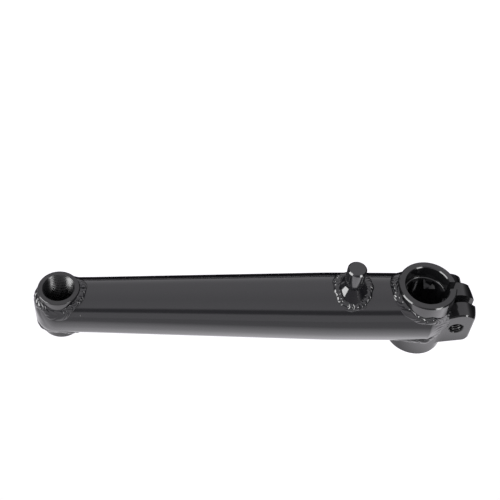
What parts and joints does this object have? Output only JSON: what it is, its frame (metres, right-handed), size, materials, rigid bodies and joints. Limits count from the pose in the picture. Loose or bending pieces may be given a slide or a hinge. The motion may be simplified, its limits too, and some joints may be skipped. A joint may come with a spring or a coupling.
{
  "type": "bicycle crank arm",
  "caption": "Tubular welded bicycle crank arm with a splined pinch-clamp spindle boss, a tapped pedal boss and a sprocket stud.",
  "frame": {"origin": "on the spindle axis, at the outer end face of the spindle boss", "axes": "+Z along the spindle axis towards the frame, +X from the pedal axis towards the spindle and the clamp ears"},
  "size_m": [0.2075, 0.0341, 0.0503],
  "materials": {
    "tube_paint": "gloss black paint over steel tube",
    "boss_paint": "gloss black paint over machined steel",
    "weld_paint": "gloss black paint over rippled weld",
    "bolt_steel": "black oxide alloy steel"
  },
  "bodies": {
    "root": {"arm_tube": "tube_paint", "tube_end_cap": "tube_paint", "cap_weld": "weld_paint", "spindle_boss": "boss_paint", "spindle_weld_inner": "weld_paint", "spindle_weld_outer": "weld_paint", "tube_end_weld": "weld_paint", "pinch_bolt": "bolt_steel", "pedal_boss": "boss_paint", "pedal_weld_inner": "weld_paint", "pedal_weld_outer": "weld_paint", "sprocket_stud": "boss_paint", "stud_weld": "weld_paint"}
  },
  "joints": []
}
